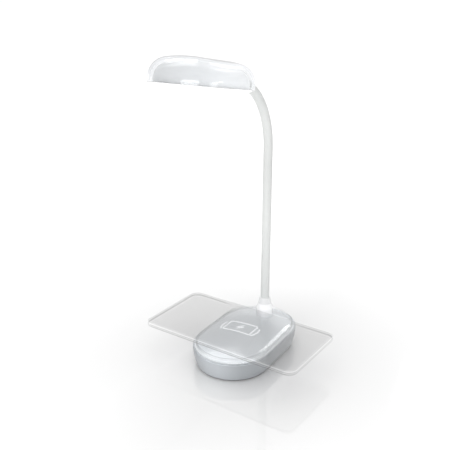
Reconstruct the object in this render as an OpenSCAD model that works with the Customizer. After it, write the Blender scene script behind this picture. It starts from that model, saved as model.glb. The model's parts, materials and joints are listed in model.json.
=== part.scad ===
// Desk lamp with a charging base: an oval base under a domed clear cover, a sleeved
// gooseneck arm and a tilted oval head with a lit panel underneath. A clear plate lies
// loose across the base. Millimetres, +Z up. The origin is the middle of the base's
// underside. The head reaches forward along -Y and the arm stands at the back, +Y.

/* [Base] */
// Width of the base at its seam
base_w = 74.4; // [70:0.4:82]
// Length of the base at its seam
base_l = 119.2; // [116:0.4:132]
// Height of the seam between tray and clear cover
seam_z = 17.7; // [17:0.1:20]
// Radius of the tray's bulged side, seen from the end
side_bulge_r = 45; // [40:1:70]
// Wall of the tray
tray_wall = 2.2; // [2:0.1:2.6]
// Floor of the tray
tray_floor = 2.4; // [2.2:0.1:3]
// Thickness of the grip mat under the tray
mat_t = 1.2; // [0.8:0.1:1.6]
// Inset of the grip mat from the edge of the tray's underside
mat_inset = 0.8; // [0.4:0.1:3]

/* [Clear cover and pad] */
// Rise of the clear cover above the seam
crown_rise = 8.8; // [8.4:0.1:11]
// Half width of the flat strip along the cover's crown
crown_flat_r = 1; // [0.6:0.1:3]
// Radius of the cover's shoulder at the seam
cover_edge_r = 4.6; // [4.2:0.1:5.5]
// Wall of the clear cover
cover_wall = 1.8; // [1.4:0.1:2]
// Distance of the pad's face behind the cover's face
pad_inset = 3.4; // [3:0.1:3.6]
// Wall of the pad shell
pad_wall = 1.8; // [1.4:0.1:2.2]
// Depth of the pad shell's skirt below the seam
skirt_h = 3.2; // [2.4:0.1:4]
// Thickness of the tray's ledge under the skirt
ledge_h = 2; // [1.5:0.1:2.6]
// Width of the symbol printed on the pad
mark_w = 30.5; // [24:0.5:32]
// Depth of the symbol, front to back
mark_d = 18.5; // [15:0.5:20]
// Line width of the symbol
mark_line = 1.5; // [0.6:0.1:1.8]
// Thickness of the symbol's ink
mark_t = 0.25; // [0.1:0.05:0.4]

/* [Weight and electronics] */
// Thickness of the steel weight
weight_t = 3.5; // [2:0.1:4]
// Inset of the steel weight from the base outline
weight_inset = 9; // [8.5:0.5:12]
// Height of the circuit board's underside above the table
board_z = 9; // [8.6:0.1:9.6]
// Thickness of the circuit board
board_t = 1.2; // [1:0.1:1.6]
// Width of the circuit board
board_w = 26; // [25:0.5:27]
// Length of the circuit board
board_l = 44; // [42:0.5:45]
// Distance of the circuit board's back edge from the back of the base
board_back = 7.3; // [7:0.1:8]
// Outer radius of the charging coil
coil_r = 21; // [18:0.5:22]
// Inner radius of the charging coil
coil_hole_r = 10.5; // [8:0.5:13]
// Thickness of the charging coil
coil_t = 1.2; // [0.8:0.1:1.4]
// Thickness of the ferrite sheet under the coil
ferrite_t = 0.7; // [0.5:0.1:0.8]
// Thickness of the coil bracket's plate
bracket_t = 1.6; // [1.2:0.1:2]
// Width of the supply socket
port_w = 9; // [8.4:0.1:9.6]
// Height of the supply socket
port_h = 3.2; // [3:0.1:3.6]
// Depth of the supply socket
port_l = 9; // [7.5:0.1:9.5]

/* [Neck] */
// Distance of the arm's axis from the back of the base
arm_back = 22.5; // [21.6:0.1:23]
// Radius of the collar's foot
collar_foot_r = 8.2; // [8:0.1:9]
// Radius of the collar where its flare ends
collar_neck_r = 5; // [4.9:0.1:5.4]
// Radius of the collar's hollow flare
flare_r = 33; // [31:0.5:36]
// Height of that flare's centre above the neck ring
flare_lift = 3.3; // [3:0.1:4]
// Height of the neck ring's underside above the table
ring_z = 35.2; // [34:0.1:36]
// Height of the neck ring
ring_h = 6.2; // [5:0.1:7]
// Number of notches round the neck ring
ring_notches = 16; // [8:1:20]

/* [Arm] */
// Outer radius of the soft sleeve
sleeve_r = 4.15; // [4.1:0.05:4.3]
// Wall of the soft sleeve
sleeve_wall = 0.65; // [0.5:0.05:0.65]
// Radius of the gooseneck's links
link_r = 3.2; // [3.1:0.05:3.2]
// Radius of each link's ball
ball_r = 2.6; // [2.5:0.05:2.6]
// Running clearance round each ball
ball_fit = 0.05; // [0.02:0.01:0.08]
// Radius of the lead channel through the links
channel_r = 1.3; // [1.1:0.05:1.4]
// Radius of the lamp lead inside the arm
lead_r = 0.9; // [0.6:0.05:1]
// Height of the lowest joint above the table
first_joint_z = 60; // [56:0.5:64]
// Distance of the last joint of the straight part below the bend
bend_lead = 18; // [17:0.5:24]
// Height where the arm starts to bend forward
stem_top_z = 190; // [188:0.5:200]
// Radius of the bend at the top of the arm
bend_r = 68; // [66:0.5:72]
// Angle of the first joint in the bend
first_bend_turn = 4; // [3:0.5:6]
// Angle between the joints of the bend
bend_turn_step = 18; // [16:0.5:18.5]

/* [Head] */
// Angle by which the front of the head is raised
head_tilt = 9.5; // [6:0.5:12]
// Width of the head
head_w = 61; // [60:0.5:66]
// Length of the head
head_l = 97; // [94:0.5:104]
// Height of the upright part of the head's side
head_side_h = 4; // [3:0.1:5]
// Rise of the head's dome above that side
head_rise = 17; // [16:0.1:20]
// Half width of the flat strip along the dome's crown
head_flat_r = 1; // [0.6:0.1:3]
// Radius of the dome's shoulder
head_edge_r = 15.5; // [13:0.5:15.5]
// Wall of the clear head shell
shell_wall = 1.4; // [1.2:0.1:2.2]
// Distance of the inner body's side behind the shell's side
body_inset = 4.2; // [3.6:0.1:4.6]
// Wall of the inner body
body_wall = 1.6; // [1.2:0.1:1.8]
// Width of the rim frame
rim_w = 6.1; // [5.8:0.1:6.6]
// Thickness of the rim frame
rim_t = 0.8; // [0.6:0.1:1.4]
// Inset of the light panel from the head outline
panel_inset = 2.5; // [2:0.1:3.5]
// Depth of the light panel below the rim frame
panel_t = 1.2; // [1.1:0.1:2]
// Inset of the LED board from the sides of the head
led_inset = 8.6; // [8:0.1:9.5]
// Inset of the LED board from the ends of the head
led_end_inset = 16; // [15.5:0.1:18]
// Height at which the arm enters the head, above the rim
arm_entry_z = 6.6; // [6.4:0.1:7]

/* [Loose plate] */
// Length of the clear plate
plate_l = 160; // [140:1:170]
// Width of the clear plate
plate_w = 81; // [70:0.5:81.5]
// Thickness of the clear plate
plate_t = 4.5; // [3:0.1:5]
// Radius of the plate's corners
plate_corner_r = 9; // [4:0.5:14]
// Turn of the plate on the base
plate_turn = -2.9; // [-6:0.1:6]
// Distance between the plate's back edge and the neck collar
plate_gap = 2; // [0.4:0.1:20]

/* [Hidden] */
$fn = 64;

seat_gap = 0.1;      // gap round a piece held still in another
loose_gap = 0.3;     // gap between pieces that move past each other
eps = 0.01;

// Half sizes of the two outlines
base_a = base_w / 2;
base_b = base_l / 2;
arm_y = base_b - arm_back;
head_a = head_w / 2;
head_b = head_l / 2;

// Tray, pad and cover heights
floor_top = mat_t + tray_floor;
crown_run = base_a - crown_flat_r;
crown_z = seam_z + crown_rise;
pad_rise = crown_rise - pad_inset;
pad_top_z = seam_z + pad_rise;
pad_inner_rise = pad_rise - pad_wall;
pad_inner_run = crown_run - pad_inset - pad_wall;
pad_inner_edge_r = 1;
skirt_in = pad_inset + pad_wall;
skirt_out = tray_wall + seat_gap;
cover_hole_r = collar_foot_r + 0.2;
mark_x = -6;
mark_y = 0.4;
mark_corner_r = 2.2;
wave_out = 4.2;

// Screws
screw_head_h = 1.2;
base_screw_r = 1.15;
base_head_r = 2.6;
small_screw_r = 0.95;
small_head_r = 2;
thread_gap = 0.05;
post_r = 3.2;
post_in = 17.2;
post_front_in = 25.6;
post_back_in = 33.6;
post_x = base_a - post_in;
post_front_y = -base_b + post_front_in;
post_back_y = base_b - post_back_in;
post_spots = [
    [post_x, post_front_y], [-post_x, post_front_y], [post_x, post_back_y], [-post_x, post_back_y]
];
post_bore_top = 14;
pillar_r = 2.6;
board_y0 = base_b - board_back - board_l;
pillar_in = 3.5;
pillar_front_in = 3.7;
pillar_back_in = 8.3;
pillar_x = board_w / 2 - pillar_in;
pillar_front_y = board_y0 + pillar_front_in;
pillar_back_y = board_y0 + board_l - pillar_back_in;
pillar_spots = [
    [pillar_x, pillar_front_y], [-pillar_x, pillar_front_y],
    [pillar_x, pillar_back_y], [-pillar_x, pillar_back_y]
];
pillar_bore_h = 4.6;

// Stack on the weight
weight_z = floor_top;
weight_top = weight_z + weight_t;
board_top = board_z + board_t;
port_in = 1.2;
port_y1 = base_b - port_in;
port_z = board_top + port_h / 2;
coil_y = -4;
coil_rise = 2.1;
coil_top_z = seam_z + coil_rise;
ferrite_top = coil_top_z - coil_t;
bracket_top = ferrite_top - ferrite_t;
bracket_rim = 3.5;
bracket_r = coil_r + bracket_rim;
leg_r = 2;
leg_spread = 16;
touch_in = 17.6;
touch_y = -base_b + touch_in;
touch_r = 6;
touch_t = 0.6;
touch_stem_r = 1.5;
touch_rise = 1.6;
touch_top_z = seam_z + touch_rise;

// Neck
collar_z = pad_top_z;
boss_drop = 3.6;
collar_bore_r = link_r + seat_gap;
washer_t = 1;
washer_r = 7;
nut_h = 4;
nut_r = 6.5;
washer_top = collar_z - boss_drop;
nut_top = washer_top - washer_t;
tail_out = 0.9;
tail_z = nut_top - nut_h - tail_out;
flare_x = collar_neck_r + sqrt(pow(flare_r, 2) - pow(flare_lift, 2));
flare_z = ring_z + ring_h + flare_lift;
ring_r = flare_x - sqrt(pow(flare_r, 2) - pow(ring_h + flare_lift, 2)) - 0.1;
notch_r = 0.7;

// Path of the arm: straight up, then forward round the bend to the head
arm_turn = 90 - head_tilt;
path_end = stem_top_z + bend_r * arm_turn * PI / 180;
straight_joints = 8;
joints = 12;
link_pitch = (stem_top_z - bend_lead - first_joint_z) / (straight_joints - 1);
cup_lip = 1.2;
ball_drop = 2.6;
ball_neck_r = 1.9;
plug_in = 13.5;
sleeve_in = 5;
lead_in = 15;

// Head heights, from the underside of the rim frame
head_run = head_a - head_flat_r;
head_top = head_side_h + head_rise;
body_top_in = shell_wall + loose_gap;
boss_r = 4.7;
boss_in = 10;
head_nut_h = 2.5;
head_nut_r = 4.8;
led_a = head_a - led_inset;
led_b = head_b - led_end_inset;
led_z = 5.15;
led_t = 1.2;
chip = [2.8, 3.5, 0.7];
chip_rows = 7;
chip_cols = 3;
chip_pitch_x = 11;
chip_pitch_y = 7.4;
led_post_r = 2.4;
led_post_spots = [[5.5, 18.5], [-5.5, 18.5], [5.5, -18.5], [-5.5, -18.5]];
led_post_top = led_z + led_t + 8;
reflector_t = 1.2;
reflector_flare = 2;
panel_run = 8;
panel_edge_r = 0.9;

// Loose plate
plate_z = crown_z + loose_gap;
plate_y = arm_y - collar_foot_r - plate_gap - plate_w / 2;

// ---- Ovals: two half-round ends joined by straight sides ----

// Flat oval with half sizes a along X and b along Y
module oval(a, b) {
    square([2 * a, 2 * (b - a)], center = true);
    for (end = [-1, 1]) translate([0, end * (b - a)]) circle(a);
}

// Carries a profile round the oval. The profile's x is measured outwards from the outline.
module round_oval(a, b) {
    straight = b - a;
    for (half = [0, 180]) rotate([0, 0, half]) {
        translate([0, straight, 0]) rotate_extrude(angle = 180) translate([a, 0]) children();
        translate([a, straight, 0]) rotate([90, 0, 0]) linear_extrude(2 * straight) children();
    }
}

// An oval plate, drawn in by inset from the outline
module oval_plate(a, b, inset, h) {
    linear_extrude(h) oval(a - inset, b - inset);
}

// ---- Dome shoulders: a small arc at the edge runs into a wide arc over the top ----

// Quarter of a four-arc oval that is run wide and rise high, drawn in by inset
module shoulder(run, rise, edge_r, inset = 0) {
    shift = (pow(run - edge_r, 2) - pow(rise - edge_r, 2)) / (2 * (rise - edge_r));
    turn = atan2(shift, run - edge_r);
    top_r = rise + shift - inset;
    tip_r = edge_r - inset;
    split = run - edge_r + tip_r * cos(turn);
    translate([-run, 0]) intersection() {
        square([run + 1, rise + 1]);
        union() {
            intersection() {
                translate([0, -shift]) circle(top_r, $fn = 256);
                square([split, rise + 1]);
            }
            intersection() {
                translate([run - edge_r, 0]) circle(tip_r);
                translate([split, 0]) square([run, rise + 1]);
            }
        }
    }
}

// A closed dome over an oval outline
module dome(a, b, run, rise, edge_r, inset = 0) {
    round_oval(a, b) shoulder(run, rise, edge_r, inset);
    oval_plate(a, b, run, rise - inset);
}

// ---- Arm path ----

function arc_angle(s) = max(0, s - stem_top_z) / bend_r * 180 / PI;
function joint_s(i) = i < straight_joints
    ? first_joint_z + i * link_pitch
    : stem_top_z + bend_r * (first_bend_turn + (i - straight_joints) * bend_turn_step) * PI / 180;

// Places children at distance s along the arm, with +Z along it
module at_path(s) {
    t = arc_angle(s);
    y = arm_y - bend_r * (1 - cos(t));
    z = min(s, stem_top_z) + bend_r * sin(t);
    translate([0, y, z]) rotate([t, 0, 0]) children();
}

// A round rod along the arm from distance s0 to s1
module path_rod(s0, s1, r) {
    if (s0 < stem_top_z)
        translate([0, arm_y, s0]) cylinder(r = r, h = min(s1, stem_top_z) - s0);
    if (s1 > stem_top_z)
        translate([0, arm_y - bend_r, stem_top_z]) rotate([90, 0, 90])
            rotate([0, 0, arc_angle(s0)])
                rotate_extrude(angle = arc_angle(s1) - arc_angle(s0), $fn = 128)
                    translate([bend_r, 0]) circle(r, $fn = 48);
}

// Ball at joint i with its neck, and the cup that turns on such a ball
module ball_end(i) {
    path_rod(joint_s(i) - ball_drop - eps, joint_s(i), ball_neck_r);
    at_path(joint_s(i)) sphere(ball_r);
}

module cup_cut(i) {
    at_path(joint_s(i)) sphere(ball_r + ball_fit);
}

// One gooseneck link: a cup at joint i - 1 and a ball at joint i
module gooseneck_link(i) {
    difference() {
        union() {
            path_rod(joint_s(i - 1) - cup_lip, joint_s(i) - ball_drop, link_r);
            ball_end(i);
        }
        cup_cut(i - 1);
        path_rod(joint_s(i - 1) - cup_lip - eps, joint_s(i) + ball_r + eps, channel_r);
    }
}

// ---- Head frame: +Y towards the arm, +Z out of the dome, origin under the rim ----

module at_head() {
    end_y = arm_y - bend_r * (1 - cos(arm_turn));
    end_z = stem_top_z + bend_r * sin(arm_turn);
    translate([
        0,
        end_y - head_b * cos(head_tilt) - arm_entry_z * sin(head_tilt),
        end_z + head_b * sin(head_tilt) - arm_entry_z * cos(head_tilt)
    ]) rotate([-head_tilt, 0, 0]) children();
}

// ---- Base ----

function side_in(z) = side_bulge_r - sqrt(pow(side_bulge_r, 2) - pow(seam_z - z, 2));

module grip_mat() {
    color("dimgray")
        oval_plate(base_a, base_b, side_in(mat_t) + mat_inset, mat_t);
}

module tray_side_section() {
    intersection() {
        difference() {
            translate([-side_bulge_r, seam_z]) circle(side_bulge_r, $fn = 256);
            translate([-side_bulge_r, seam_z]) circle(side_bulge_r - tray_wall, $fn = 256);
        }
        translate([-4 * tray_wall, mat_t]) square([5 * tray_wall, seam_z - mat_t]);
    }
}

module base_tray() {
    color("lightsteelblue") difference() {
        union() {
            round_oval(base_a, base_b) tray_side_section();
            round_oval(base_a, base_b)
                translate([-skirt_in, seam_z - skirt_h - ledge_h])
                    square([skirt_in - tray_wall / 2, ledge_h]);
            translate([0, 0, mat_t])
                oval_plate(base_a, base_b, side_in(mat_t) + tray_wall / 3, tray_floor);
            for (p = pillar_spots)
                translate([p[0], p[1], floor_top - eps]) cylinder(r = pillar_r, h = board_z - floor_top + eps);
        }
        for (p = post_spots) translate([p[0], p[1], 0]) {
            cylinder(r = base_screw_r + seat_gap, h = floor_top + 1);
            cylinder(r = base_head_r + seat_gap, h = mat_t + screw_head_h);
        }
        for (p = pillar_spots) translate([p[0], p[1], pillar_bore_h])
            cylinder(r = small_screw_r + thread_gap, h = board_z);
        translate([0, base_b, port_z])
            cube([port_w + 2 * seat_gap, 6 * tray_wall, port_h + 2 * seat_gap], center = true);
    }
}

module ballast_plate() {
    color("gray") difference() {
        translate([0, 0, weight_z]) oval_plate(base_a, base_b, weight_inset, weight_t);
        for (p = pillar_spots) translate([p[0], p[1], 0]) cylinder(r = pillar_r + loose_gap, h = weight_top + 1);
        for (p = post_spots) translate([p[0], p[1], 0]) cylinder(r = post_r + loose_gap, h = weight_top + 1);
    }
}

module base_screws() {
    color("silver") for (p = post_spots) translate([p[0], p[1], mat_t]) {
        cylinder(r = base_head_r, h = screw_head_h);
        cylinder(r = base_screw_r, h = post_bore_top - mat_t - 1);
    }
}

module main_board() {
    color("darkgreen") difference() {
        translate([-board_w / 2, board_y0, board_z]) cube([board_w, board_l, board_t]);
        for (p = pillar_spots) translate([p[0], p[1], 0])
            cylinder(r = small_screw_r + seat_gap, h = board_top + 1);
    }
}

module board_parts() {
    color("black") translate([0, board_y0, board_top]) {
        translate([-4, 6.7, 0]) cube([8, 8, 1.4]);
        translate([4, 17.7, 0]) cube([5, 5, 2.4]);
        translate([-10, 17.7, 0]) cube([5, 7, 2]);
        translate([-11, 10.7, 0]) cube([3, 4, 1.2]);
        translate([7, 10.7, 0]) cube([4, 3, 1]);
    }
}

module board_screws() {
    color("silver") for (p = pillar_spots) translate([p[0], p[1], 0]) {
        translate([0, 0, board_top]) cylinder(r = small_head_r, h = screw_head_h);
        translate([0, 0, pillar_bore_h + 0.4]) cylinder(r = small_screw_r, h = board_top - pillar_bore_h);
    }
}

// Metal shell of the supply socket, rounded at its sides, with its tongue
module supply_socket() {
    mouth = port_h / 2;
    tongue = [port_w - port_h, port_l - 1.5, 0.7];
    color("silver") translate([0, port_y1, port_z]) {
        rotate([90, 0, 0]) difference() {
            linear_extrude(port_l) stadium(port_w, mouth);
            translate([0, 0, -1]) linear_extrude(port_l) stadium(port_w - 0.7, mouth - 0.35);
        }
        translate([-tongue[0] / 2, -port_l + 0.5, -tongue[2] / 2]) cube(tongue);
    }
}

module stadium(w, r) {
    square([w - 2 * r, 2 * r], center = true);
    for (side = [-1, 1]) translate([side * (w / 2 - r), 0]) circle(r);
}

module coil_bracket() {
    color("white") {
        translate([0, coil_y, bracket_top - bracket_t]) cylinder(r = bracket_r, h = bracket_t);
        for (sx = [-1, 1], sy = [-1, 1])
            translate([sx * leg_spread, coil_y + sy * leg_spread, weight_top])
                cylinder(r = leg_r, h = bracket_top - bracket_t / 2 - weight_top);
    }
}

module ferrite_sheet() {
    color("dimgray") translate([0, coil_y, bracket_top]) cylinder(r = coil_r + 1, h = ferrite_t);
}

module charging_coil() {
    color("peru") translate([0, coil_y, ferrite_top]) difference() {
        cylinder(r = coil_r, h = coil_t);
        translate([0, 0, -1]) cylinder(r = coil_hole_r, h = coil_t + 2);
    }
}

module touch_sensor() {
    color("gold") translate([0, touch_y, 0]) {
        translate([0, 0, touch_top_z - touch_t]) cylinder(r = touch_r, h = touch_t);
        translate([0, 0, weight_top]) cylinder(r = touch_stem_r, h = touch_top_z - weight_top - touch_t / 2);
    }
}

// Outer form of the pad's dome, raised by lift
module pad_form(lift = 0) {
    translate([0, 0, seam_z]) dome(
        base_a, base_b, crown_run, crown_rise, cover_edge_r, pad_inset - lift
    );
}

module pad_shell() {
    color("lightgray") difference() {
        union() {
            round_oval(base_a, base_b) translate([0, seam_z]) pad_section();
            translate([0, 0, seam_z + pad_inner_rise])
                oval_plate(base_a, base_b, crown_run, pad_wall);
            translate([0, arm_y, collar_z - boss_drop]) cylinder(r = collar_foot_r - seat_gap, h = boss_drop);
            for (p = post_spots) translate([p[0], p[1], floor_top])
                cylinder(r = post_r, h = seam_z + pad_inner_rise - 1 - floor_top);
        }
        translate([0, arm_y, 0]) cylinder(r = collar_bore_r, h = collar_z + 1);
        for (p = post_spots) translate([p[0], p[1], floor_top - 1])
            cylinder(r = base_screw_r + thread_gap, h = post_bore_top - floor_top + 1);
    }
}

// Section of the pad's shoulder and of the skirt that sits on the tray's ledge
module pad_section() {
    difference() {
        shoulder(crown_run, crown_rise, cover_edge_r, pad_inset);
        translate([-skirt_in, 0]) shoulder(pad_inner_run, pad_inner_rise, pad_inner_edge_r);
    }
    translate([-skirt_in, -skirt_h]) square([skirt_in - skirt_out, skirt_h]);
}

// The symbol on the pad: a plain handset outline, a bolt and two waves
module symbol_shape() {
    difference() {
        rounded(mark_w, mark_d, mark_corner_r);
        rounded(mark_w - 2 * mark_line, mark_d - 2 * mark_line, mark_corner_r - mark_line);
    }
    polygon(mark_d * [
        [-0.2125, -0.0375], [0.1375, 0.2875], [0.05, 0.05625],
        [0.225, 0.05625], [-0.1375, -0.2875], [-0.05625, -0.0375]
    ]);
    for (side = [-1, 1]) intersection() {
        difference() {
            circle(mark_w / 2 + wave_out);
            circle(mark_w / 2 + wave_out - mark_line);
        }
        translate([side * mark_w * 0.6, -mark_d * 0.1]) square([mark_w / 2, mark_d * 0.8], center = true);
    }
}

module rounded(w, d, r) {
    square([w - 2 * r, d], center = true);
    square([w, d - 2 * r], center = true);
    for (sx = [-1, 1], sy = [-1, 1]) translate([sx * (w / 2 - r), sy * (d / 2 - r)]) circle(r);
}

module pad_symbol() {
    color("white") intersection() {
        translate([mark_x, mark_y, seam_z]) linear_extrude(crown_rise) symbol_shape();
        difference() {
            pad_form(mark_t);
            pad_form(0);
        }
    }
}

module clear_cover() {
    color([0.85, 0.9, 0.95, 0.35]) difference() {
        translate([0, 0, seam_z]) {
            round_oval(base_a, base_b) difference() {
                shoulder(crown_run, crown_rise, cover_edge_r);
                shoulder(crown_run, crown_rise, cover_edge_r, cover_wall);
            }
            translate([0, 0, crown_rise - cover_wall])
                oval_plate(base_a, base_b, crown_run, cover_wall);
        }
        translate([0, arm_y, seam_z]) cylinder(r = cover_hole_r, h = crown_rise + 1);
    }
}

// ---- Neck ----

module neck_collar() {
    color("white") translate([0, arm_y, 0]) rotate_extrude() difference() {
        translate([collar_bore_r, collar_z]) square([collar_foot_r - collar_bore_r, ring_z - collar_z]);
        translate([flare_x, flare_z]) circle(flare_r, $fn = 128);
    }
}

module neck_ring() {
    color("white") translate([0, arm_y, ring_z]) difference() {
        cylinder(r1 = ring_r, r2 = collar_neck_r, h = ring_h);
        translate([0, 0, -1]) cylinder(r = sleeve_r + thread_gap, h = ring_h + 2);
        for (k = [0:ring_notches - 1]) rotate([0, 0, k * 360 / ring_notches])
            translate([ring_r + 0.1, 0, 1]) cylinder(r = notch_r, h = ring_h);
    }
}

module neck_washer() {
    color("silver") translate([0, arm_y, nut_top]) difference() {
        cylinder(r = washer_r, h = washer_t);
        translate([0, 0, -1]) cylinder(r = collar_bore_r, h = washer_t + 2);
    }
}

module neck_nut() {
    color("silver") translate([0, arm_y, nut_top - nut_h]) difference() {
        cylinder(r = nut_r, h = nut_h, $fn = 6);
        translate([0, 0, -1]) cylinder(r = link_r + thread_gap, h = nut_h + 2);
    }
}

module gooseneck_foot() {
    color("silver") difference() {
        union() {
            path_rod(tail_z, joint_s(0) - ball_drop, link_r);
            ball_end(0);
        }
        path_rod(tail_z - 1, joint_s(0) + ball_r + 1, channel_r);
    }
}

// ---- Arm ----

module link_1() color("silver") gooseneck_link(1);
module link_2() color("silver") gooseneck_link(2);
module link_3() color("silver") gooseneck_link(3);
module link_4() color("silver") gooseneck_link(4);
module link_5() color("silver") gooseneck_link(5);
module link_6() color("silver") gooseneck_link(6);
module link_7() color("silver") gooseneck_link(7);
module link_8() color("silver") gooseneck_link(8);
module link_9() color("silver") gooseneck_link(9);
module link_10() color("silver") gooseneck_link(10);
module link_11() color("silver") gooseneck_link(11);

module arm_end_plug() {
    color("silver") difference() {
        path_rod(joint_s(joints - 1) - cup_lip, path_end + plug_in, link_r);
        cup_cut(joints - 1);
        path_rod(joint_s(joints - 1) - cup_lip - eps, path_end + plug_in + 1, channel_r);
    }
}

module arm_sleeve() {
    color("whitesmoke") difference() {
        path_rod(ring_z, path_end + sleeve_in, sleeve_r);
        path_rod(ring_z - 1, path_end + sleeve_in + 1, sleeve_r - sleeve_wall);
    }
}

module lamp_lead() {
    color("red") path_rod(board_top, path_end + lead_in, lead_r);
}

// ---- Head ----

module head_nut() {
    color("silver") difference() {
        at_path(path_end + boss_in) cylinder(r = head_nut_r, h = head_nut_h, $fn = 6);
        path_rod(path_end + boss_in - 1, path_end + boss_in + head_nut_h + 1, link_r + thread_gap);
    }
}

// Section of a hollow dome's side and shoulder, drawn in from the side and from the top
module hollow_section(side_in, top_in, wall) {
    run = head_run - side_in;
    rise = head_rise - top_in;
    edge_r = head_edge_r - side_in;
    translate([-side_in - wall, rim_t]) square([wall, head_side_h - rim_t]);
    translate([-side_in, head_side_h]) difference() {
        shoulder(run, rise, edge_r);
        shoulder(run, rise, edge_r, wall);
    }
}

module hollow_dome(side_in, top_in, wall) {
    round_oval(head_a, head_b) hollow_section(side_in, top_in, wall);
    translate([0, 0, head_top - top_in - wall])
        oval_plate(head_a, head_b, head_run, wall);
}

module head_body() {
    sleeve_end = path_end + sleeve_in + seat_gap;
    color("gainsboro") difference() {
        union() {
            at_head() hollow_dome(body_inset, body_top_in, body_wall);
            path_rod(sleeve_end - 0.4, path_end + boss_in, boss_r);
            at_head() for (p = led_post_spots) translate([p[0], p[1], led_z + led_t])
                cylinder(r = led_post_r, h = head_top - body_top_in - body_wall / 2 - led_z - led_t);
        }
        path_rod(path_end, path_end + boss_in + 1, collar_bore_r);
        path_rod(path_end - 1, sleeve_end, sleeve_r + seat_gap);
        at_head() for (p = led_post_spots) translate([p[0], p[1], led_z])
            cylinder(r = small_screw_r + thread_gap, h = led_post_top - led_z);
    }
}

module head_shell() {
    color([0.85, 0.9, 0.95, 0.35]) difference() {
        at_head() hollow_dome(0, 0, shell_wall);
        path_rod(path_end - 2, path_end + 2 * shell_wall + 1, sleeve_r + loose_gap);
    }
}

module head_rim() {
    color("gray") at_head() round_oval(head_a, head_b)
        translate([-rim_w - loose_gap, 0]) square([rim_w, rim_t]);
}

module led_board() {
    color("white") at_head() difference() {
        translate([0, 0, led_z]) linear_extrude(led_t) oval(led_a, led_b);
        for (p = led_post_spots) translate([p[0], p[1], 0])
            cylinder(r = small_screw_r + seat_gap, h = led_z + led_t + 1);
    }
}

module leds() {
    color("khaki") at_head() for (i = [0:chip_cols - 1], j = [0:chip_rows - 1])
        translate([
            (i - (chip_cols - 1) / 2) * chip_pitch_x - chip[0] / 2,
            (j - (chip_rows - 1) / 2) * chip_pitch_y - chip[1] / 2,
            led_z - chip[2]
        ]) cube(chip);
}

module led_screws() {
    color("silver") at_head() for (p = led_post_spots) translate([p[0], p[1], led_z]) {
        translate([0, 0, -screw_head_h]) cylinder(r = small_head_r, h = screw_head_h);
        translate([0, 0, -eps]) cylinder(r = small_screw_r, h = led_post_top - led_z - 1);
    }
}

module reflector() {
    color("white") at_head() round_oval(led_a, led_b) polygon([
        [-reflector_t, led_z],
        [0, led_z],
        [reflector_flare, seat_gap],
        [reflector_flare - reflector_t, seat_gap]
    ]);
}

module light_panel() {
    color("white") at_head() mirror([0, 0, 1]) {
        round_oval(head_a, head_b)
            translate([-panel_inset, 0]) shoulder(panel_run, panel_t, panel_edge_r);
        oval_plate(head_a, head_b, panel_inset + panel_run, panel_t);
    }
}

// ---- Loose plate ----

module clear_plate() {
    color([0.85, 0.9, 0.95, 0.35])
        translate([0, plate_y, plate_z]) rotate([0, 0, plate_turn])
            linear_extrude(plate_t) rounded(plate_l, plate_w, plate_corner_r);
}

grip_mat();
base_tray();
ballast_plate();
base_screws();
main_board();
board_parts();
board_screws();
supply_socket();
coil_bracket();
ferrite_sheet();
charging_coil();
touch_sensor();
pad_shell();
pad_symbol();
clear_cover();
neck_collar();
neck_ring();
neck_washer();
neck_nut();
gooseneck_foot();
link_1();
link_2();
link_3();
link_4();
link_5();
link_6();
link_7();
link_8();
link_9();
link_10();
link_11();
arm_end_plug();
arm_sleeve();
lamp_lead();
head_nut();
head_body();
head_shell();
head_rim();
led_board();
leds();
led_screws();
reflector();
light_panel();
clear_plate();
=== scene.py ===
# %% [markdown]
# # A gooseneck desk lamp with a charging base
# The lamp has three parts to look at: an oval base under a domed clear cover, a soft arm that
# bends, and a tilted oval head with a lit panel underneath. A clear plate lies across the base.
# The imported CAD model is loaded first, as a frame. Every new piece is then made in the same
# place and in real metres, and rides on one of the frame's bodies, so that the lamp can still bend.

# %% Load the frame
import json
import math
import bpy
import bmesh
from mathutils import Matrix, Vector


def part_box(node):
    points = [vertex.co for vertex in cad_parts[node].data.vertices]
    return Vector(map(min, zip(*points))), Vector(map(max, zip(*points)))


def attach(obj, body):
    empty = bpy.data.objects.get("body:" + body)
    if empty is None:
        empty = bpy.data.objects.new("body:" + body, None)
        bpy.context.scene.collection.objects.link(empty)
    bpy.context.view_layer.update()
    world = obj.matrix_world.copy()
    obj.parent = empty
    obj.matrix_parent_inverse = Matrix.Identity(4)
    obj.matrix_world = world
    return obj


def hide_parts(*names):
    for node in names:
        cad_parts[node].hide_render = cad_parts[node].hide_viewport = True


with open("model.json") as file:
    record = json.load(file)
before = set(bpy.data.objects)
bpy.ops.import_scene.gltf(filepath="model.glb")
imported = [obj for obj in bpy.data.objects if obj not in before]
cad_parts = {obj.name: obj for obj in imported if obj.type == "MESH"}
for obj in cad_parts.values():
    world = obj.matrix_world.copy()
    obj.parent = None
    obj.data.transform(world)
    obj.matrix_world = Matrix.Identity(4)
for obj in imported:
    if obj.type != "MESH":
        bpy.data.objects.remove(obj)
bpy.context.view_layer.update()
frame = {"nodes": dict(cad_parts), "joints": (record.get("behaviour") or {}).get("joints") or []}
nodes = frame["nodes"]
hinges = [joint for joint in frame["joints"] if joint["type"] == "hinge"]
MM = 0.001

# %% [markdown]
# ## Camera
# The camera looks down at the lamp from its front right, as the picture does. Its place and its
# lens were found by matching the edges of the base, the plate and the head. A lens length is only
# true together with a sensor width, so both are set.

# %% Camera
lens = bpy.data.cameras.new("camera")
lens.sensor_width = 36
lens.lens = 54.22
camera = bpy.data.objects.new("camera", lens)
camera.location = (0.28331, -0.49246, 0.33509)
camera.rotation_euler = (math.radians(69.92), 0, math.radians(31.875))
bpy.context.scene.collection.objects.link(camera)
bpy.context.scene.camera = camera
bpy.context.scene.view_settings.view_transform = "Standard"
print("camera at", tuple(round(v, 3) for v in camera.location))

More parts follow.
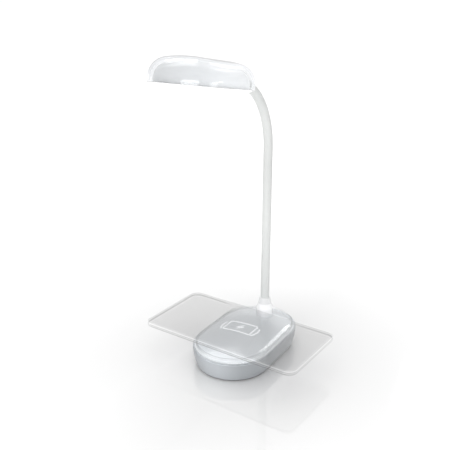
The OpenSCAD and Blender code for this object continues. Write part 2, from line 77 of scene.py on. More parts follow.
# %% [markdown]
# ## Small helpers
# A mesh made with bmesh becomes an object in one call. The object stays at the origin and its
# place is in its mesh. Smooth faces with sharp edges marked by angle look like a moulded part:
# round where it is round, crisp where it has an edge.

# %% A mesh becomes a piece
SHARP_FROM = math.radians(35)


def add_piece(name, bm, material, body, stands_for):
    mesh = bpy.data.meshes.new(name)
    bm.to_mesh(mesh)
    bm.free()
    mesh.polygons.foreach_set("use_smooth", [True] * len(mesh.polygons))
    mesh.set_sharp_from_angle(angle=SHARP_FROM)
    mesh.materials.append(material)
    piece = bpy.data.objects.new(name, mesh)
    bpy.context.scene.collection.objects.link(piece)
    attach(piece, body)
    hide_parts(stands_for)
    print(name, "faces:", len(mesh.polygons))

# %% [markdown]
# A material in Blender is a small net of nodes. Most of these nodes take a few numbers or the
# output of another node, so each kind gets a helper that accepts either and hands back its output.
# That keeps a finish down to a few readable lines.

# %% Nodes that calculate
def feed(tree, socket, value):
    if isinstance(value, bpy.types.NodeSocket):
        tree.links.new(value, socket)
    else:
        socket.default_value = value


def math_node(tree, operation, *values):
    node = tree.nodes.new("ShaderNodeMath")
    node.operation = operation
    for socket, value in zip(node.inputs, values):
        feed(tree, socket, value)
    return node.outputs[0]


def vector_node(tree, operation, *values):
    node = tree.nodes.new("ShaderNodeVectorMath")
    node.operation = operation
    for socket, value in zip(node.inputs, values):
        feed(tree, socket, value)
    return node.outputs["Value" if operation in ("LENGTH", "DOT_PRODUCT") else "Vector"]


def axis_of(tree, vector, axis):
    node = tree.nodes.new("ShaderNodeSeparateXYZ")
    tree.links.new(vector, node.inputs[0])
    return node.outputs[axis]


def span(tree, value, low, high, to_low=0.0, to_high=1.0):
    node = tree.nodes.new("ShaderNodeMapRange")
    for label, number in (("From Min", low), ("From Max", high), ("To Min", to_low), ("To Max", to_high)):
        node.inputs[label].default_value = number
    tree.links.new(value, node.inputs["Value"])
    return node.outputs[0]

# %% Nodes that mix
def mixed(tree, factor, low, high, blend="MIX"):
    mix = tree.nodes.new("ShaderNodeMix")
    mix.data_type, mix.blend_type = "RGBA", blend
    feed(tree, mix.inputs["Factor"], factor)
    for label, colour in (("A", low), ("B", high)):
        feed(tree, mix.inputs[label], (*colour, 1) if isinstance(colour, tuple) else colour)
    return mix.outputs["Result"]


def mixed_shaders(tree, factor, first, second):
    mix = tree.nodes.new("ShaderNodeMixShader")
    for socket, value in zip(mix.inputs, (factor, first, second)):
        feed(tree, socket, value)
    return mix.outputs[0]


def two_shades(tree, shader, factor, low, high):
    shade = mixed(tree, factor, low, high)
    tree.links.new(shade, shader.inputs["Base Color"])
    return shade


def multiplied(tree, shader, colour):
    base = shader.inputs["Base Color"]
    tree.links.new(mixed(tree, 1.0, base.links[0].from_socket, colour, "MULTIPLY"), base)

# %% [markdown]
# ## Surface effects
# Real moulded plastic is never one flat value. Its gloss changes a little from place to place,
# its skin has a very fine unevenness, and handling leaves faint smears. These effects are used by
# many finishes, so they are built once as node groups, with named inputs and outputs.

# %% A node group with named sockets
NUMBER, VECTOR = "NodeSocketFloat", "NodeSocketVector"


def new_group(name, inputs, outputs):
    group = bpy.data.node_groups.new(name, "ShaderNodeTree")
    for label, kind, default in inputs:
        socket = group.interface.new_socket(name=label, in_out="INPUT", socket_type=kind)
        if default is not None:
            socket.default_value = default
    for label, kind in outputs:
        group.interface.new_socket(name=label, in_out="OUTPUT", socket_type=kind)
    return group, group.nodes.new("NodeGroupInput"), group.nodes.new("NodeGroupOutput")


def use_group(tree, group, vector, **values):
    node = tree.nodes.new("ShaderNodeGroup")
    node.node_tree = group
    for label, value in values.items():
        node.inputs[label.replace("_", " ")].default_value = value
    tree.links.new(vector, node.inputs["Vector"])
    return node


def noise(tree, vector, scale, detail, rough=0.5):
    node = tree.nodes.new("ShaderNodeTexNoise")
    for label, value in (("Vector", vector), ("Scale", scale), ("Detail", detail), ("Roughness", rough)):
        feed(tree, node.inputs[label], value)
    return node.outputs[0]

# %% The moulded skin: gloss that wanders, faint smears and a fine unevenness
skin, given, result = new_group(
    "moulded skin",
    [("Vector", VECTOR, None), ("Gloss", NUMBER, 0.15), ("Wander", NUMBER, 0.05),
     ("Smear", NUMBER, 0.04), ("Grain scale", NUMBER, 900.0)],
    [("Roughness", NUMBER), ("Height", NUMBER), ("Shade", NUMBER)],
)
broad = noise(skin, given.outputs["Vector"], scale=22.0, detail=2.0)
cloudy = noise(skin, given.outputs["Vector"], scale=90.0, detail=5.0, rough=0.65)
grain = noise(skin, given.outputs["Vector"], scale=given.outputs["Grain scale"], detail=2.0)
smears = span(skin, cloudy, 0.52, 0.78)
wandering = math_node(skin, "MULTIPLY", math_node(skin, "SUBTRACT", broad, 0.5), given.outputs["Wander"])
smeared = math_node(skin, "MULTIPLY", smears, given.outputs["Smear"])
rough = math_node(skin, "ADD", given.outputs["Gloss"], math_node(skin, "ADD", wandering, smeared))
skin.links.new(rough, result.inputs["Roughness"])
skin.links.new(grain, result.inputs["Height"])
skin.links.new(broad, result.inputs["Shade"])
print("group:", skin.name, "nodes:", len(skin.nodes))

# %% Plated metal: fine streaks round a turned part
streaks, given, result = new_group(
    "plated streaks",
    [("Vector", VECTOR, None), ("Gloss", NUMBER, 0.25), ("Streak", NUMBER, 0.12)],
    [("Roughness", NUMBER), ("Height", NUMBER)],
)
squeeze = streaks.nodes.new("ShaderNodeMapping")
squeeze.inputs["Scale"].default_value = (1.0, 1.0, 30.0)
streaks.links.new(given.outputs["Vector"], squeeze.inputs["Vector"])
lines = noise(streaks, squeeze.outputs[0], scale=120.0, detail=3.0)
change = math_node(streaks, "MULTIPLY", math_node(streaks, "SUBTRACT", lines, 0.5), given.outputs["Streak"])
streaks.links.new(math_node(streaks, "ADD", given.outputs["Gloss"], change), result.inputs["Roughness"])
streaks.links.new(lines, result.inputs["Height"])
print("group:", streaks.name, "nodes:", len(streaks.nodes))

# %% [markdown]
# Fine lines run along the edge of the cover, the pad and the plate. All three outlines are
# rectangles with round corners, and an oval is one whose corners take up its whole width. This
# group measures how far inside such an outline a point lies, and a finish turns that into lines.

# %% How far a point lies inside an outline
outline, given, result = new_group(
    "outline inset",
    [("Vector", VECTOR, None), ("Core", VECTOR, (0.0, 0.0, 0.0)), ("Corner", NUMBER, 0.01)],
    [("Inset", NUMBER)],
)
flat = vector_node(outline, "MULTIPLY", given.outputs["Vector"], (1.0, 1.0, 0.0))
past_core = vector_node(outline, "SUBTRACT", vector_node(outline, "ABSOLUTE", flat), given.outputs["Core"])
reach = vector_node(outline, "LENGTH", vector_node(outline, "MAXIMUM", past_core, (0.0, 0.0, 0.0)))
outline.links.new(math_node(outline, "SUBTRACT", given.outputs["Corner"], reach), result.inputs["Inset"])
print("group:", outline.name, "nodes:", len(outline.nodes))

# %% Lines at set distances
def inset_in(tree, place, half_x, half_y, corner):
    core = (half_x - corner, half_y - corner, 0.0)
    return use_group(tree, outline, place, Core=core, Corner=corner).outputs["Inset"]


def shade_lines(tree, value, low, high, *stops, unit=MM):
    ramp = tree.nodes.new("ShaderNodeValToRGB")
    marks = ramp.color_ramp.elements
    while len(marks) < len(stops):
        marks.new(1.0)
    for mark, (distance, shade) in zip(marks, stops):
        mark.position = (distance - low) / (high - low)
        mark.color = (shade, shade, shade, 1)
    tree.links.new(span(tree, value, low * unit, high * unit), ramp.inputs[0])
    return ramp.outputs["Color"]

# %% [markdown]
# ## Finishes
# Each finish is a Principled shader. Its colour, roughness and bump come from the groups above,
# read on Object coordinates, so that the pattern stays on the piece when the lamp bends.

# %% A blank material with its shader
def blank(name):
    material = bpy.data.materials.new(name)
    material.use_nodes = True
    tree = material.node_tree
    place = tree.nodes.new("ShaderNodeTexCoord")
    return material, tree, tree.nodes["Principled BSDF"], place.outputs["Object"]


def bump(tree, shader, height, strength, depth):
    node = tree.nodes.new("ShaderNodeBump")
    node.inputs["Strength"].default_value = strength
    node.inputs["Distance"].default_value = depth
    tree.links.new(height, node.inputs["Height"])
    tree.links.new(node.outputs[0], shader.inputs["Normal"])

# %% Moulded plastic
GRAIN_DEPTH, STREAK_DEPTH = 0.2 * MM, 0.1 * MM


def moulded(name, low, high, gloss, wander=0.05, smear=0.04, grain_scale=900.0, strength=0.02, coat=0.0):
    material, tree, shader, place = blank(name)
    group = use_group(tree, skin, place, Gloss=gloss, Wander=wander, Smear=smear, Grain_scale=grain_scale)
    two_shades(tree, shader, group.outputs["Shade"], low, high)
    tree.links.new(group.outputs["Roughness"], shader.inputs["Roughness"])
    bump(tree, shader, group.outputs["Height"], strength, GRAIN_DEPTH)
    shader.inputs["Coat Weight"].default_value = coat
    shader.inputs["Coat Roughness"].default_value = 0.04
    return material

# %% Plated metal
def plated(name, tint, gloss=0.25, streak=0.12):
    material, tree, shader, place = blank(name)
    group = use_group(tree, streaks, place, Gloss=gloss, Streak=streak)
    shader.inputs["Base Color"].default_value = (*tint, 1)
    shader.inputs["Metallic"].default_value = 1.0
    tree.links.new(group.outputs["Roughness"], shader.inputs["Roughness"])
    bump(tree, shader, group.outputs["Height"], strength=0.08, depth=STREAK_DEPTH)
    return material

# %% Something that glows: the lit panel under the head, and the printed symbol with a faint painted glow
def lit(name, tint, strength):
    material, tree, shader, place = blank(name)
    group = use_group(tree, skin, place, Gloss=0.4, Wander=0.06, Smear=0.02, Grain_scale=1400.0)
    slightly_darker = tuple(0.97 * share for share in tint)
    shade = two_shades(tree, shader, group.outputs["Shade"], slightly_darker, tint)
    tree.links.new(shade, shader.inputs["Emission Color"])
    shader.inputs["Emission Strength"].default_value = strength
    tree.links.new(group.outputs["Roughness"], shader.inputs["Roughness"])
    bump(tree, shader, group.outputs["Height"], strength=0.03, depth=GRAIN_DEPTH)
    return material

# %% [markdown]
# The cover, the head shell and the plate are thin clear plastic, and what lies behind them shows
# without a shift. Such a wall bends light in and back out again, so its body gets an IOR close to
# 1, and a clear coat on top keeps the full gloss of plastic. A Light Path node lets rays from
# lamps pass straight through with a faint tint, which keeps the shadows clean and soft.

# %% Clear plastic
def clear(name, shadow, gloss):
    material, tree, shader, place = blank(name)
    group = use_group(tree, skin, place, Gloss=gloss, Wander=0.01, Smear=0.02, Grain_scale=500.0)
    tree.links.new(group.outputs["Roughness"], shader.inputs["Roughness"])
    shader.inputs["Transmission Weight"].default_value = 1.0
    shader.inputs["IOR"].default_value = 1.001
    shader.inputs["Coat Weight"].default_value = 1.0
    shader.inputs["Coat Roughness"].default_value = gloss
    path = tree.nodes.new("ShaderNodeLightPath")
    through = tree.nodes.new("ShaderNodeBsdfTransparent")
    through.inputs["Color"].default_value = (*shadow, 1)
    lamps = math_node(tree, "MAXIMUM", path.outputs["Is Shadow Ray"], path.outputs["Is Diffuse Ray"])
    surface = mixed_shaders(tree, lamps, shader.outputs[0], through.outputs[0])
    tree.links.new(surface, tree.nodes["Material Output"].inputs["Surface"])
    return material, tree, shader, place

# %% [markdown]
# A thick clear wall looks darker along the line where it turns out of sight. Here that line is painted
# shade: a darker tint drawn where the surface turns away from the view. It belongs only to the outer
# skin: a test of the normal against the way out from the middle keeps the inner skin free of it, so
# that the wall doesn't show two dark lines.
#
# Real clear plastic also acts as a lens near that line, and carries the colour of the body inside
# out to the edge. The IOR close to 1 can't do that, so the head shell may be given that colour as
# a faint glow in a band beside the line, where the wall itself lets less through.

# %% A hollow clear shell
THIN_SHADOW = (0.97, 0.975, 0.98)
FILL_FROM, FILL_TO = 0.66, 0.76
FILL_LETS_THROUGH, FILL_ON_LINE = 0.12, 0.25
BLACK = (0.0, 0.0, 0.0)


def clear_shell(name, tint, line_tint, middle, gloss, line_from, line_to, behind=None):
    material, tree, shader, place = clear(name, THIN_SHADOW, gloss)
    way_out = vector_node(tree, "SUBTRACT", place, middle)
    outward = vector_node(tree, "DOT_PRODUCT", way_out, place.node.outputs["Normal"])
    outer = math_node(tree, "GREATER_THAN", outward, 0.0)
    turned = tree.nodes.new("ShaderNodeLayerWeight")
    turned.inputs["Blend"].default_value = 0.5
    facing = turned.outputs["Facing"]
    line = math_node(tree, "MULTIPLY", span(tree, facing, line_from, line_to), outer)
    two_shades(tree, shader, line, tint, line_tint)
    if behind:
        fill = math_node(tree, "MULTIPLY", span(tree, facing, FILL_FROM, FILL_TO), outer)
        multiplied(tree, shader, span(tree, fill, 0, 1, 1.0, FILL_LETS_THROUGH))
        shown = math_node(tree, "MULTIPLY", fill, span(tree, line, 0, 1, 1.0, FILL_ON_LINE))
        tree.links.new(mixed(tree, shown, BLACK, behind), shader.inputs["Emission Color"])
        shader.inputs["Emission Strength"].default_value = 1.0
    return material, tree, shader, place

# %% [markdown]
# The visible plastics come in pale, slightly cool shades. The tray is the darkest of them, and the
# arm's sleeve is the only soft one, so it is matt and has a stronger grain.

# %% Finishes of the outside
finish = {
    "tray": moulded("tray plastic", (0.45, 0.475, 0.50), (0.48, 0.505, 0.53), gloss=0.22, strength=0.015),
    "pad": moulded("pad plastic", (0.82, 0.85, 0.87), (0.85, 0.88, 0.90), gloss=0.34),
    # The printed symbol's ink is given a faint glow: painted light, since the symbol is no lamp.
    "ink": lit("symbol ink with painted glow", (0.96, 0.97, 0.98), strength=0.5),
    "white": moulded("white gloss", (0.95, 0.95, 0.955), (0.97, 0.97, 0.975), gloss=0.14, coat=0.3),
    "ring": moulded("ring gloss", (0.80, 0.805, 0.81), (0.84, 0.845, 0.85), gloss=0.2, coat=0.3),
    "sleeve": moulded("soft sleeve", (0.67, 0.685, 0.675), (0.70, 0.71, 0.70), gloss=0.55,
                      wander=0.10, grain_scale=1600.0, smear=0.05, strength=0.12),
    "body": moulded("head body", (0.955, 0.965, 0.975), (0.97, 0.98, 0.985), gloss=0.18, coat=0.3),
    "rim": moulded("rim frame", (0.74, 0.745, 0.75), (0.78, 0.785, 0.79), gloss=0.2),
    "panel": lit("lit panel", (1.0, 1.0, 1.0), strength=1.6),
    "mat": moulded("grip mat", (0.16, 0.16, 0.165), (0.20, 0.20, 0.205), gloss=0.75,
                   wander=0.12, grain_scale=700.0, smear=0.08, strength=0.4),
}
print("finishes of the outside:", len(finish))

# %% [markdown]
# The pieces inside show when the model is opened. They get the finishes that such pieces have in
# any small lamp: a green board, black chips, a copper coil, plated steel and brass.

# %% Finishes of the inside
finish.update({
    "inner": moulded("inner white", (0.82, 0.82, 0.82), (0.88, 0.88, 0.88), gloss=0.45, strength=0.08),
    "lead": moulded("lead jacket", (0.45, 0.03, 0.03), (0.55, 0.05, 0.04), gloss=0.4),
    "board": moulded("solder mask", (0.015, 0.10, 0.05), (0.02, 0.13, 0.06), gloss=0.3,
                     wander=0.1, grain_scale=1200.0, smear=0.08, strength=0.1),
    "chip": moulded("chip resin", (0.015, 0.015, 0.017), (0.03, 0.03, 0.032), gloss=0.5,
                    wander=0.1, grain_scale=2000.0, smear=0.05, strength=0.3),
    "ferrite": moulded("ferrite sheet", (0.04, 0.04, 0.043), (0.07, 0.07, 0.072), gloss=0.6,
                       wander=0.1, grain_scale=800.0, smear=0.1, strength=0.3),
    "phosphor": moulded("phosphor gel", (0.85, 0.70, 0.20), (0.93, 0.80, 0.30), gloss=0.3),
    "steel": plated("plated steel", (0.62, 0.62, 0.64)),
    "copper": plated("coil copper", (0.70, 0.33, 0.17), gloss=0.3, streak=0.2),
    "brass": plated("contact brass", (0.72, 0.55, 0.24), gloss=0.3),
    "aluminium": plated("coated aluminium", (0.83, 0.83, 0.84), gloss=0.45, streak=0.1),
})
print("finishes so far:", len(finish))

# %% [markdown]
# ## Painted light and shade on the solid pieces
# Light and shade are painted into the colour of these pieces: a painted shade line at a fine step near
# the pad's edge, painted shade on the pad's rear end, a painted highlight on the tray's upper ledge and
# painted shade on its sides, painted shade on the far end of the head's body and on the sleeve higher
# up, and painted shade where the neck's white pieces turn away. A step of a few tenths of a millimetre
# could be cut into the mesh, but at this size it only shows as a shade. So each difference multiplies
# the finished colour, along one direction, along the outline or by how far the surface turns from
# the view, and is added after the finish.

# %% A finish is opened again
def opened(name):
    tree = finish[name].node_tree
    place = tree.nodes.new("ShaderNodeTexCoord").outputs["Object"]
    return tree, tree.nodes["Principled BSDF"], place


def shaded_along(name, axis, low, high, *stops):
    tree, shader, place = opened(name)
    multiplied(tree, shader, shade_lines(tree, axis_of(tree, place, axis), low, high, *stops))
    print("shades along", axis, "on:", finish[name].name)

# %% Pad: a painted shade line at its step, and painted shade on its rear end
cover_low, cover_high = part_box("clear_cover")
COVER_OVAL = (cover_high.x, cover_high.y, cover_high.x)
tree, shader, place = opened("pad")
inset = inset_in(tree, place, *COVER_OVAL)
multiplied(tree, shader, shade_lines(tree, inset, 3, 6, (3.4, 0.80), (3.9, 0.80), (4.2, 1.0)))
shaded_along("pad", "Y", 30, 60, (42, 1.0), (46, 0.66))

# %% Head body and sleeve: painted shade on the body's far end, and on the sleeve higher up
shaded_along("body", "Y", -120, -20, (-116, 0.58), (-100, 0.80), (-84, 1.0), (-50, 1.0), (-28, 0.94))
shaded_along("sleeve", "Z", 100, 300, (120, 1.0), (175, 0.89), (215, 0.94))

# %% Tray: a painted highlight on the ledge on top, and painted shade on its sides
shaded_along("tray", "Z", 10, 20, (17.3, 1.0), (17.5, 1.95))
tree, shader, place = opened("tray")
aside = math_node(tree, "ABSOLUTE", axis_of(tree, place, "X"))
multiplied(tree, shader, shade_lines(tree, aside, 0, 40, (6, 1.0), (25, 0.74)))

# %% Neck: painted shade makes the white pieces greyer where they turn away from the view
for name in ("white", "ring"):
    tree, shader, place = opened(name)
    facing = tree.nodes.new("ShaderNodeLayerWeight").outputs["Facing"]
    multiplied(tree, shader, span(tree, facing, 0.60, 0.95, 1.0, 0.55))
    print("painted shade at its sides:", finish[name].name)

# %% [markdown]
# ## The clear pieces
# The cover stands on the tray with a fine dark seam, and a pale ring with a grey line inside it
# runs round its dome. These could be grooves in the mesh. On the real cover they are light that
# the thick rim gathers, so they are drawn in the finish, at set distances from the outline. The
# head shell is the same plastic, a little greyer.

# %% Cover
finish["cover"], tree, shader, place = clear_shell(
    "clear cover", tint=(0.985, 0.99, 0.995), line_tint=(0.36, 0.37, 0.38), middle=(0, 0, 10 * MM),
    gloss=0.02, line_from=0.78, line_to=0.98,
)
above_seam = math_node(tree, "SUBTRACT", axis_of(tree, place, "Z"), cover_low.z)
multiplied(tree, shader, shade_lines(tree, above_seam, 0, 2, (0, 0.35), (0.4, 0.35), (0.7, 1.0)))
inset = inset_in(tree, place, *COVER_OVAL)
grey_line = shade_lines(tree, inset, 2, 6, (2.9, 1.0), (3.2, 0.66), (4.1, 0.66), (4.4, 1.0))
multiplied(tree, shader, grey_line)
pale_ring = shade_lines(tree, inset, 0, 4, (0.7, 0.0), (1.0, 0.14), (2.2, 0.14), (2.5, 0.0))
tree.links.new(pale_ring, shader.inputs["Emission Color"])
shader.inputs["Emission Strength"].default_value = 1.0
print("cover seam at", round(cover_low.z / MM, 2), "mm")

# %% Head shell
HEAD_MIDDLE = (0, -67.3 * MM, 266.5 * MM)
finish["shell"] = clear_shell(
    "head shell", tint=(0.965, 0.972, 0.98), line_tint=(0.30, 0.31, 0.32), middle=HEAD_MIDDLE,
    gloss=0.05, line_from=0.83, line_to=0.95, behind=(0.62, 0.635, 0.66),
)[0]
print("finishes so far:", len(finish))

# %% [markdown]
# The plate's sides are polished: they gather light, so a bright line runs along them between two
# grey ones, and its flat faces are slightly grey. Its lines follow its own outline, so a Mapping
# node first turns and moves the coordinates to the plate's own middle.

# %% Where the plate lies
PLATE_LENGTH, PLATE_WIDTH = 160 * MM, 81 * MM
PLATE_CORNER, PLATE_EDGE, PLATE_TURN = 9 * MM, 1.1 * MM, math.radians(-2.9)
plate_low, plate_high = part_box("clear_plate")
plate_middle = (plate_low + plate_high) / 2
plate_half = (plate_high.z - plate_low.z) / 2
finish["plate"], tree, shader, place = clear("clear plate", shadow=(0.86, 0.86, 0.865), gloss=0.03)
laid = tree.nodes.new("ShaderNodeMapping")
laid.vector_type = "TEXTURE"
laid.inputs["Location"].default_value = plate_middle
laid.inputs["Rotation"].default_value = (0, 0, PLATE_TURN)
tree.links.new(place, laid.inputs["Vector"])
on_plate = laid.outputs[0]
print("plate thickness:", round(2 * plate_half / MM, 2), "mm")

# %% Grey faces with a line along their edge, and sides in bright and grey lines
inset = inset_in(tree, on_plate, PLATE_LENGTH / 2, PLATE_WIDTH / 2, PLATE_CORNER)
faces = shade_lines(tree, inset, 0, 4, (0.0, 0.70), (0.7, 0.70), (1.0, 0.90), (1.8, 0.90), (2.4, 0.77))
height = axis_of(tree, on_plate, "Z")
sides = shade_lines(
    tree, height, -1, 1, (-1, 0.42), (-0.45, 0.42), (-0.25, 0.90), (0.05, 0.90), (0.15, 0.66),
    (0.35, 0.66), (0.50, 1.0), unit=plate_half,
)
glow = shade_lines(
    tree, height, -1, 1, (-0.40, 0.0), (-0.20, 0.05), (0.0, 0.05), (0.15, 0.0), (0.40, 0.0),
    (0.55, 0.16), (0.95, 0.16), unit=plate_half,
)
upward = math_node(tree, "ABSOLUTE", axis_of(tree, place.node.outputs["Normal"], "Z"))
lying = span(tree, upward, 0.6, 0.9)
tree.links.new(mixed(tree, lying, sides, faces), shader.inputs["Base Color"])
tree.links.new(mixed(tree, lying, glow, BLACK), shader.inputs["Emission Color"])
shader.inputs["Emission Strength"].default_value = 1.0
print("plate nodes:", len(tree.nodes))

# %% The plate's back edge is fainter above the base
beside = math_node(tree, "ABSOLUTE", axis_of(tree, on_plate, "X"))
over_base = span(tree, beside, 34 * MM, 46 * MM, 1, 0)
at_back = span(tree, axis_of(tree, on_plate, "Y"), 30 * MM, 34 * MM)
fainter = math_node(tree, "MULTIPLY", over_base, at_back)
two_shades(tree, shader, fainter, shader.inputs["Base Color"].links[0].from_socket, (0.79, 0.79, 0.79))
print("finishes:", len(finish))

# %% [markdown]
# ## The arm's path
# The arm goes straight up and then forward round one wide bend. Distances along it are counted
# from the table. A frame at any distance says where a ring of the sleeve goes and how it is turned.
# The joints lie on this path, eight on the stem and four round the bend, and their places are
# compared with those of the frame.

# %% The arm's path in numbers
ARM_Y, STEM_TOP, BEND_R = hinges[0]["pos_m"][1], 190 * MM, 68 * MM
STEM_JOINTS, STEM_FIRST_MM, STEM_STEP_MM = 8, 60, 16
BEND_FIRST_DEG, BEND_STEP_DEG, BEND_END_DEG = 4, 18, 80.5
PATH_END = STEM_TOP + BEND_R * math.radians(BEND_END_DEG)


def joint_at(i):
    if i < STEM_JOINTS:
        return (STEM_FIRST_MM + STEM_STEP_MM * i) * MM
    return STEM_TOP + BEND_R * math.radians(BEND_FIRST_DEG + BEND_STEP_DEG * (i - STEM_JOINTS))


def arm_frame(s):
    turn = max(0.0, s - STEM_TOP) / BEND_R
    y = ARM_Y - BEND_R * (1 - math.cos(turn))
    z = min(s, STEM_TOP) + BEND_R * math.sin(turn)
    return Matrix.Translation((0, y, z)) @ Matrix.Rotation(turn, 4, "X")


chain = ["base"] + [hinge["child"] for hinge in hinges]
joints = [joint_at(i) for i in range(len(hinges))]
gaps = [(arm_frame(s).translation - Vector(hinge["pos_m"])).length for s, hinge in zip(joints, hinges)]
print("joints:", len(joints), "farthest from the frame's:", round(max(gaps) / MM, 3), "mm")

# %% [markdown]
# ## The soft sleeve and the lead
# On the real lamp one silicone sleeve covers the whole gooseneck. Here it is made in one length
# for each body of the arm, and the lengths meet at the joints. When a joint bends, its two lengths
# turn by a few degrees, and a short band inside closes the slit that opens on the outer side. A
# sleeve that bends smoothly across each joint would look rounder, but rigid lengths stay exactly
# where the CAD says when all joints turn at once. Each length is a circle that is extruded ring by
# ring along the path, once outside and once inside.

# %% A tube along the arm
FIRST_ANGLE = 0.01  # radians past zero, so that rounding can't send the first vertex to the end


def in_order(ring, turned):
    back = turned.inverted()
    return sorted(ring, key=lambda v: (math.atan2(*(back @ v.co).xy) + FIRST_ANGLE) % math.tau)


def arm_tube(start, stop, outer, inner, sides, step=MM):
    bm = bmesh.new()
    count = max(2, math.ceil((stop - start) / step))
    rims = []
    for radius in (outer, inner):
        before = arm_frame(start)
        ring = bmesh.ops.create_circle(bm, segments=sides, radius=radius, matrix=before)["verts"]
        edges = list(dict.fromkeys(e for v in ring for e in v.link_edges))
        rims.append(in_order(ring, before))
        for k in range(1, count + 1):
            here = arm_frame(start + (stop - start) * k / count)
            grown = bmesh.ops.extrude_edge_only(bm, edges=edges)["geom"]
            edges = [g for g in grown if isinstance(g, bmesh.types.BMEdge)]
            ring = [g for g in grown if isinstance(g, bmesh.types.BMVert)]
            bmesh.ops.transform(bm, matrix=here @ before.inverted(), verts=ring)
            before = here
        rims.append(in_order(ring, before))
    for wide, narrow in ((rims[0], rims[2]), (rims[1], rims[3])):
        for k in range(sides):
            bm.faces.new((wide[k - 1], wide[k], narrow[k], narrow[k - 1]))
    bmesh.ops.recalc_face_normals(bm, faces=bm.faces)
    return bm

# %% Sleeve and lead, one length for each body
SLEEVE_SIDES, LEAD_SIDES = 48, 16


def in_lengths(name, node, outer, inner, into_head, sides):
    stops = [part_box(node)[0].z, *joints, PATH_END + into_head]
    for body, start, stop in zip(chain, stops, stops[1:]):
        bm = arm_tube(start, stop, outer, inner, sides)
        add_piece("%s_%s" % (name, body), bm, finish[name], body, node)


in_lengths("sleeve", "arm_sleeve", outer=4.15 * MM, inner=3.5 * MM,
           into_head=5 * MM, sides=SLEEVE_SIDES)
in_lengths("lead", "lamp_lead", outer=0.7 * MM, inner=0.4 * MM,
           into_head=15 * MM, sides=LEAD_SIDES)

# %% Bands at the joints
BAND_REACH, BAND_OUTER, BAND_INNER, BAND_STEP = 0.9 * MM, 4.05 * MM, 3.55 * MM, 0.3 * MM
for i, s in enumerate(joints):
    bm = arm_tube(s - BAND_REACH, s + BAND_REACH, BAND_OUTER, BAND_INNER, SLEEVE_SIDES, BAND_STEP)
    add_piece("sleeve_band_%d" % (i + 1), bm, finish["sleeve"], chain[i], "arm_sleeve")

# %% [markdown]
# ## Finishes on the CAD nodes
# The pieces whose CAD shape is already right keep it, and only get their finish.

# %% Finishes on the nodes that stay
links = chain[1:-1]
worn_by = {
    "mat": ["grip_mat"], "tray": ["base_tray"], "pad": ["pad_shell"], "ink": ["pad_symbol"],
    "cover": ["clear_cover"], "white": ["neck_collar"], "ring": ["neck_ring"], "body": ["head_body"],
    "shell": ["head_shell"], "rim": ["head_rim"], "panel": ["light_panel"],
    "steel": ["ballast_plate", "base_screws", "board_screws", "supply_socket", "neck_washer",
              "neck_nut", "gooseneck_foot", "arm_end_plug", "head_nut", "led_screws", *links],
    "board": ["main_board"], "chip": ["board_parts"], "inner": ["coil_bracket", "reflector"],
    "ferrite": ["ferrite_sheet"], "copper": ["charging_coil"], "brass": ["touch_sensor"],
    "aluminium": ["led_board"], "phosphor": ["leds"],
}
for material, names in worn_by.items():
    for name in names:
        nodes[name].data.materials[0] = finish[material]
print("nodes with a finish:", sum(len(names) for names in worn_by.values()))

# %% [markdown]
# ## The clear plate
# On the lamp this is a flat bar of clear plastic. It could be drawn as an outline and given a
# thickness, but a cube whose four corners are rounded first, and whose upper and lower edges are
# rounded after, needs only two bevels and gets the soft double edge that catches the light.

# %% Clear plate
FOLD = math.radians(60)


def upright(edge):
    a, b = edge.verts
    return abs(a.co.z - b.co.z) > abs(a.co.x - b.co.x) + abs(a.co.y - b.co.y)


def rounded(bm, edges, offset, segments):
    bmesh.ops.bevel(
        bm, geom=edges, offset=offset, offset_type="OFFSET", segments=segments, profile=0.5,
        affect="EDGES", material=-1,
    )


bm = bmesh.new()
bmesh.ops.create_cube(bm, size=1)
bmesh.ops.scale(bm, vec=(PLATE_LENGTH, PLATE_WIDTH, 2 * plate_half), verts=bm.verts)
rounded(bm, [e for e in bm.edges if upright(e)], PLATE_CORNER, segments=12)
folds = [e for e in bm.edges if not upright(e) and e.calc_face_angle(0) > FOLD]
rounded(bm, folds, PLATE_EDGE, segments=4)
laid_down = Matrix.Translation(plate_middle) @ Matrix.Rotation(PLATE_TURN, 4, "Z")
bmesh.ops.transform(bm, matrix=laid_down, verts=bm.verts)
add_piece("plate", bm, finish["plate"], "plate", "clear_plate")

# %% [markdown]
# ## The floor
# The lamp stands on a white, slightly glossy floor that shows a faint reflection of the base.
# Farther out, and on the left, the floor glows a little, so that it runs into the white of the
# background without an edge. The floor and the lights are the stage: they are not part of the lamp.

# %% Floor
FLOOR_HALF, FLOOR_DROP = 30, 0.1 * MM
bm = bmesh.new()
bmesh.ops.create_grid(bm, x_segments=1, y_segments=1, size=FLOOR_HALF)
mesh = bpy.data.meshes.new("floor")
bm.to_mesh(mesh)
bm.free()
floor = bpy.data.objects.new("floor", mesh)
floor.location = (0, 0, -FLOOR_DROP)
bpy.context.scene.collection.objects.link(floor)
print("floor half width:", FLOOR_HALF, "m")

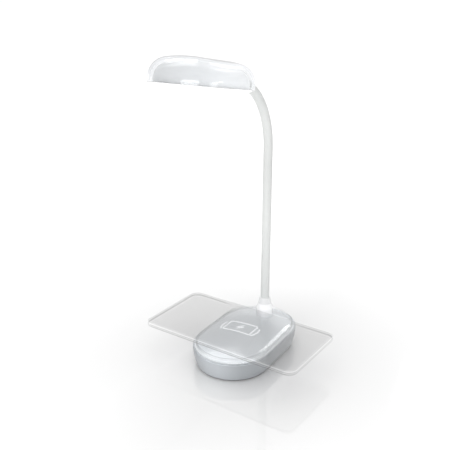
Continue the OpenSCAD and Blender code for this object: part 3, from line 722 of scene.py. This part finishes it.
# %% Floor finish
MIRROR_SHARE, FAR_GLOW, LEFT_GLOW = 0.30, 0.27, 0.085
material, tree, shader, place = blank("floor white")
shader.inputs["Base Color"].default_value = (0.92, 0.92, 0.92, 1)
shader.inputs["Specular IOR Level"].default_value = 0.0
polish = tree.nodes.new("ShaderNodeBsdfGlossy")
polish.inputs["Roughness"].default_value = 0.05
far = span(tree, vector_node(tree, "LENGTH", place), 0.085, 0.30, 0, FAR_GLOW)
left = span(tree, axis_of(tree, place, "X"), -0.06, 0.02, LEFT_GLOW, 0)
glow = tree.nodes.new("ShaderNodeEmission")
tree.links.new(math_node(tree, "ADD", far, left), glow.inputs["Strength"])
add = tree.nodes.new("ShaderNodeAddShader")
tree.links.new(mixed_shaders(tree, MIRROR_SHARE, shader.outputs[0], polish.outputs[0]), add.inputs[0])
tree.links.new(glow.outputs[0], add.inputs[1])
tree.links.new(add.outputs[0], tree.nodes["Material Output"].inputs["Surface"])
mesh.materials.append(material)
print("floor nodes:", len(tree.nodes))

# %% [markdown]
# ## Light
# A pale sky that is darker far to the left and far to the right models the rounded forms. What the
# camera sees of it, straight or through clear plastic, stays plain white. Large soft lamps add the
# long gloss streaks on the cover and on the head.

# %% Sky
world = bpy.data.worlds.new("studio")
bpy.context.scene.world = world
world.use_nodes = True
sky = world.node_tree
background = sky.nodes["Background"]
background.inputs["Color"].default_value = (1, 1, 1, 1)
toward = sky.nodes.new("ShaderNodeTexCoord").outputs["Generated"]
side, up = axis_of(sky, toward, "X"), axis_of(sky, toward, "Z")
front = vector_node(sky, "DOT_PRODUCT", toward, (0.30, -0.95, 0.0))
strength = span(sky, up, 0.30, 0.60, 0.98, 1.02)
for share in (
    span(sky, up, 0.60, 1.00, 1.00, 1.25),
    span(sky, front, -1.0, 1.0, 0.97, 1.03),
    span(sky, side, 0.30, 0.90, 1.00, 0.22),
    span(sky, side, -0.90, -0.30, 0.40, 1.00),
):
    strength = math_node(sky, "MULTIPLY", strength, share)
path = sky.nodes.new("ShaderNodeLightPath")
seen = math_node(sky, "MAXIMUM", path.outputs["Is Camera Ray"], path.outputs["Is Transmission Ray"])
plain_sky = sky.nodes.new("ShaderNodeMix")
for label, value in (("Factor", seen), ("A", strength), ("B", 1.0)):
    feed(sky, plain_sky.inputs[label], value)
sky.links.new(plain_sky.outputs["Result"], background.inputs["Strength"])
print("sky nodes:", len(sky.nodes))

# %% Soft lamps
def soft_lamp(name, bearing, tilt, distance, width, height, radiance, aim_z=0.05, mirrored=True):
    across, up = math.radians(bearing), math.radians(tilt)
    data = bpy.data.lights.new(name, "AREA")
    data.shape = "RECTANGLE"
    data.size, data.size_y = width, height
    data.energy = radiance * math.pi * width * height
    away = Vector((math.sin(across) * math.cos(up), math.cos(across) * math.cos(up), math.sin(up)))
    lamp = bpy.data.objects.new(name, data)
    lamp.location = away * distance + Vector((0, 0, aim_z))
    lamp.rotation_euler = away.to_track_quat("Z", "Y").to_euler()
    lamp.visible_glossy = mirrored
    bpy.context.scene.collection.objects.link(lamp)
    print(name, "watts:", round(data.energy, 2))


soft_lamp("streak box", bearing=-7.5, tilt=37, distance=1.5, width=0.045, height=0.45, radiance=5.0)
soft_lamp("high box", bearing=-50, tilt=56, distance=1.5, width=0.9, height=0.5, radiance=1.6)
soft_lamp("side box", bearing=65, tilt=-2, distance=1.2, width=1.0, height=0.12, radiance=1.6, aim_z=0.26)
soft_lamp("front box", bearing=145, tilt=8, distance=1.6, width=1.4, height=0.6, radiance=3.8, mirrored=False)
